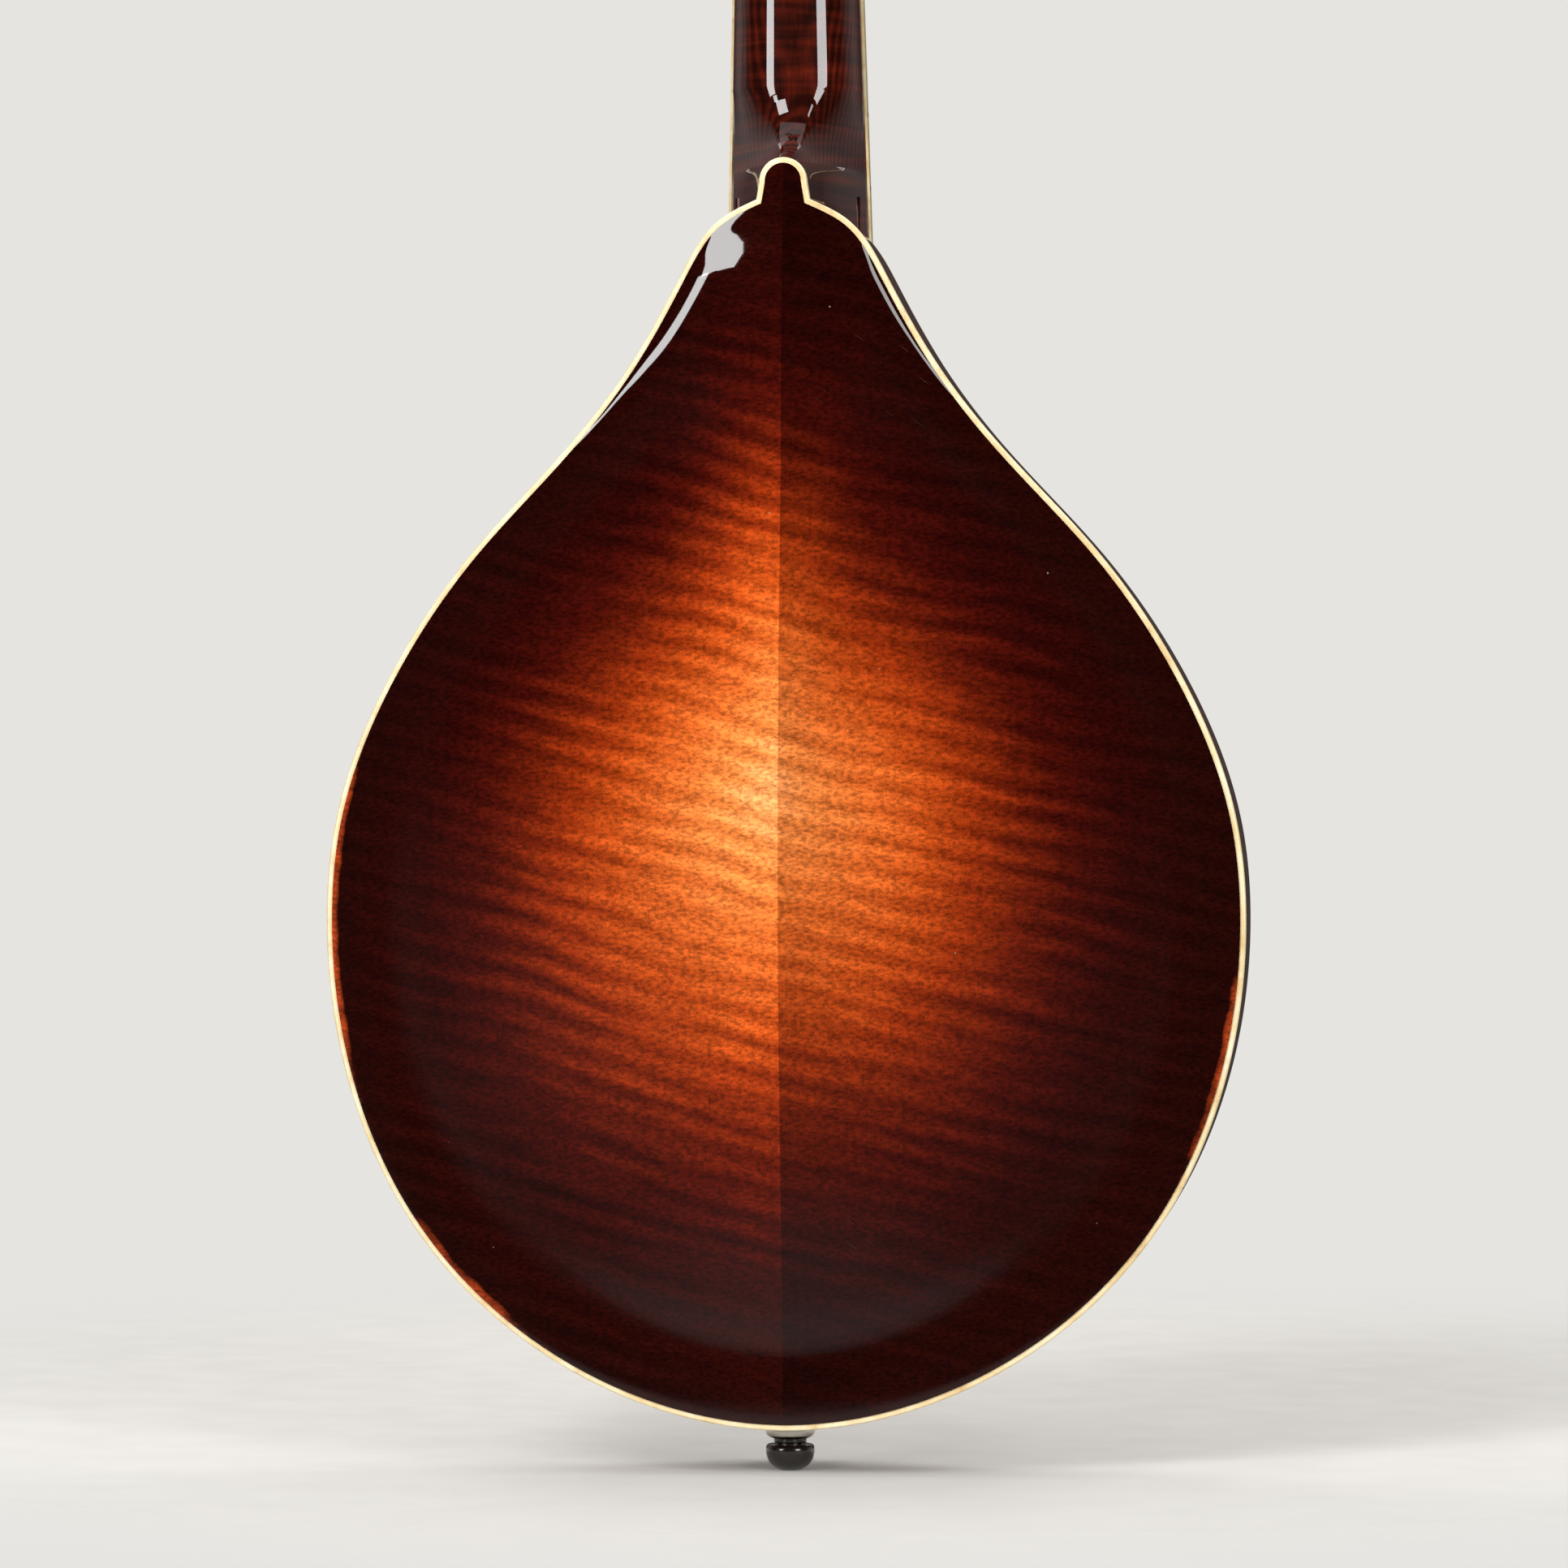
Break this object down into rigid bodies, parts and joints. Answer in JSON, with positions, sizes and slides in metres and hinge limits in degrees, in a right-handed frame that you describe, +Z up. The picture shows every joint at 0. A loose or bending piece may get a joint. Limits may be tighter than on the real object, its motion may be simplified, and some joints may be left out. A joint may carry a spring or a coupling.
{
  "type": "mandolin",
  "caption": "Pear-shaped mandolin with carved sunburst top and back, oval sound hole, set neck, adjustable bridge, sliding tailpiece cover and geared tuners.",
  "frame": {"origin": "middle of the nut, on the plane where the fingerboard is glued to the neck, where a hanger's yoke holds the instrument", "axes": "+Z up the body's length towards the headstock, -Y out of the front where the strings are, +X towards the treble side"},
  "size_m": [0.2538, 0.0996, 0.6474],
  "materials": {
    "sunburst_maple": "gloss varnish, dark at the edge and amber in the middle",
    "sunburst_spruce": "gloss varnish, dark at the edge and amber in the middle",
    "dark_maple": "gloss varnish",
    "bare_spruce": "bare",
    "ivoroid": "aged cream, under the varnish",
    "ebony": "oiled satin",
    "bone": "polished bone",
    "nickel": "worn nickel plate",
    "wound_string": "bronze winding",
    "plain_string": "bright steel wire"
  },
  "bodies": {
    "body": {"back_plate_bass": "sunburst_maple", "back_plate_treble": "sunburst_maple", "soundboard_bass": "sunburst_spruce", "soundboard_treble": "sunburst_spruce", "rib_bass": "sunburst_maple", "rib_treble": "sunburst_maple", "back_lining_bass": "bare_spruce", "back_lining_treble": "bare_spruce", "top_lining_bass": "bare_spruce", "top_lining_treble": "bare_spruce", "neck_block": "bare_spruce", "tail_block": "bare_spruce", "soundboard_brace": "bare_spruce", "back_binding": "ivoroid", "top_binding": "ivoroid", "soundhole_ring": "ivoroid", "neck": "dark_maple", "headstock_overlay": "ebony", "fingerboard": "ebony", "fingerboard_binding": "ivoroid", "nut": "bone", "bridge_base": "ebony", "bridge_stud_bass": "nickel", "bridge_stud_treble": "nickel", "tailpiece": "nickel", "end_pin": "ebony", "tuner_plate_bass": "nickel", "tuner_plate_treble": "nickel", "string_g_outer": "wound_string", "string_g_inner": "wound_string", "string_d_outer": "wound_string", "string_d_inner": "wound_string", "string_a_inner": "plain_string", "string_a_outer": "plain_string", "string_e_inner": "plain_string", "string_e_outer": "plain_string"},
    "saddle": {"bridge_saddle": "ebony"},
    "wheel_bass": {"thumbwheel_bass": "nickel"},
    "wheel_treble": {"thumbwheel_treble": "nickel"},
    "cover": {"tailpiece_cover": "nickel"},
    "key_1": {"tuner_key_1": "nickel"},
    "key_2": {"tuner_key_2": "nickel"},
    "key_3": {"tuner_key_3": "nickel"},
    "key_4": {"tuner_key_4": "nickel"},
    "key_5": {"tuner_key_5": "nickel"},
    "key_6": {"tuner_key_6": "nickel"},
    "key_7": {"tuner_key_7": "nickel"},
    "key_8": {"tuner_key_8": "nickel"},
    "post_1": {"string_post_1": "nickel"},
    "post_2": {"string_post_2": "nickel"},
    "post_3": {"string_post_3": "nickel"},
    "post_4": {"string_post_4": "nickel"},
    "post_5": {"string_post_5": "nickel"},
    "post_6": {"string_post_6": "nickel"},
    "post_7": {"string_post_7": "nickel"},
    "post_8": {"string_post_8": "nickel"}
  },
  "joints": [
    {"name": "saddle_lift", "type": "slide", "parent": "body", "child": "saddle", "axis": [0, -1, 0], "range_m": [-0.0012, 0.0015], "deforming": ["string_g_outer", "string_g_inner", "string_d_outer", "string_d_inner", "string_a_inner", "string_a_outer", "string_e_inner", "string_e_outer"]},
    {"name": "wheel_bass_turn", "type": "hinge", "parent": "saddle", "child": "wheel_bass", "pos_m": [-0.0265, -0.031, -0.35265], "axis": [0, -1, 0], "range_deg": [-560, 700]},
    {"name": "wheel_treble_turn", "type": "hinge", "parent": "saddle", "child": "wheel_treble", "pos_m": [0.0265, -0.031, -0.35265], "axis": [0, -1, 0], "range_deg": [-560, 700]},
    {"name": "cover_slide", "type": "slide", "parent": "body", "child": "cover", "axis": [0, -0.1416, 0.9899], "range_m": [0, 0.03]},
    {"name": "key_1_turn", "type": "hinge", "parent": "body", "child": "key_1", "pos_m": [-0.01765, 0.02994, 0.02737], "axis": [-1, 0, 0], "continuous": true},
    {"name": "key_2_turn", "type": "hinge", "parent": "body", "child": "key_2", "pos_m": [-0.01765, 0.03743, 0.04912], "axis": [-1, 0, 0], "continuous": true},
    {"name": "key_3_turn", "type": "hinge", "parent": "body", "child": "key_3", "pos_m": [-0.01765, 0.04492, 0.07086], "axis": [-1, 0, 0], "continuous": true},
    {"name": "key_4_turn", "type": "hinge", "parent": "body", "child": "key_4", "pos_m": [-0.01765, 0.05241, 0.09261], "axis": [-1, 0, 0], "continuous": true},
    {"name": "key_5_turn", "type": "hinge", "parent": "body", "child": "key_5", "pos_m": [0.01765, 0.02994, 0.02737], "axis": [1, 0, 0], "continuous": true},
    {"name": "key_6_turn", "type": "hinge", "parent": "body", "child": "key_6", "pos_m": [0.01765, 0.03743, 0.04912], "axis": [1, 0, 0], "continuous": true},
    {"name": "key_7_turn", "type": "hinge", "parent": "body", "child": "key_7", "pos_m": [0.01765, 0.04492, 0.07086], "axis": [1, 0, 0], "continuous": true},
    {"name": "key_8_turn", "type": "hinge", "parent": "body", "child": "key_8", "pos_m": [0.01765, 0.05241, 0.09261], "axis": [1, 0, 0], "continuous": true},
    {"name": "post_1_turn", "type": "hinge", "parent": "body", "child": "post_1", "pos_m": [-0.0205, 0.01449, 0.02674], "axis": [0, 0.9455, -0.3256], "continuous": true},
    {"name": "post_2_turn", "type": "hinge", "parent": "body", "child": "post_2", "pos_m": [-0.0205, 0.02198, 0.04849], "axis": [0, 0.9455, -0.3256], "continuous": true},
    {"name": "post_3_turn", "type": "hinge", "parent": "body", "child": "post_3", "pos_m": [-0.0205, 0.02947, 0.07023], "axis": [0, 0.9455, -0.3256], "continuous": true},
    {"name": "post_4_turn", "type": "hinge", "parent": "body", "child": "post_4", "pos_m": [-0.0205, 0.03696, 0.09198], "axis": [0, 0.9455, -0.3256], "continuous": true},
    {"name": "post_5_turn", "type": "hinge", "parent": "body", "child": "post_5", "pos_m": [0.0205, 0.01449, 0.02674], "axis": [0, 0.9455, -0.3256], "continuous": true},
    {"name": "post_6_turn", "type": "hinge", "parent": "body", "child": "post_6", "pos_m": [0.0205, 0.02198, 0.04849], "axis": [0, 0.9455, -0.3256], "continuous": true},
    {"name": "post_7_turn", "type": "hinge", "parent": "body", "child": "post_7", "pos_m": [0.0205, 0.02947, 0.07023], "axis": [0, 0.9455, -0.3256], "continuous": true},
    {"name": "post_8_turn", "type": "hinge", "parent": "body", "child": "post_8", "pos_m": [0.0205, 0.03696, 0.09198], "axis": [0, 0.9455, -0.3256], "continuous": true}
  ],
  "couplings": [
    {"joint": "wheel_bass_turn", "follows": "saddle_lift", "rad_per_m": 7953.4},
    {"joint": "wheel_treble_turn", "follows": "saddle_lift", "rad_per_m": 7953.4},
    {"joint": "post_1_turn", "follows": "key_1_turn", "ratio": 0.083333},
    {"joint": "post_2_turn", "follows": "key_2_turn", "ratio": 0.083333},
    {"joint": "post_3_turn", "follows": "key_3_turn", "ratio": 0.083333},
    {"joint": "post_4_turn", "follows": "key_4_turn", "ratio": 0.083333},
    {"joint": "post_5_turn", "follows": "key_5_turn", "ratio": -0.083333},
    {"joint": "post_6_turn", "follows": "key_6_turn", "ratio": -0.083333},
    {"joint": "post_7_turn", "follows": "key_7_turn", "ratio": -0.083333},
    {"joint": "post_8_turn", "follows": "key_8_turn", "ratio": -0.083333}
  ]
}
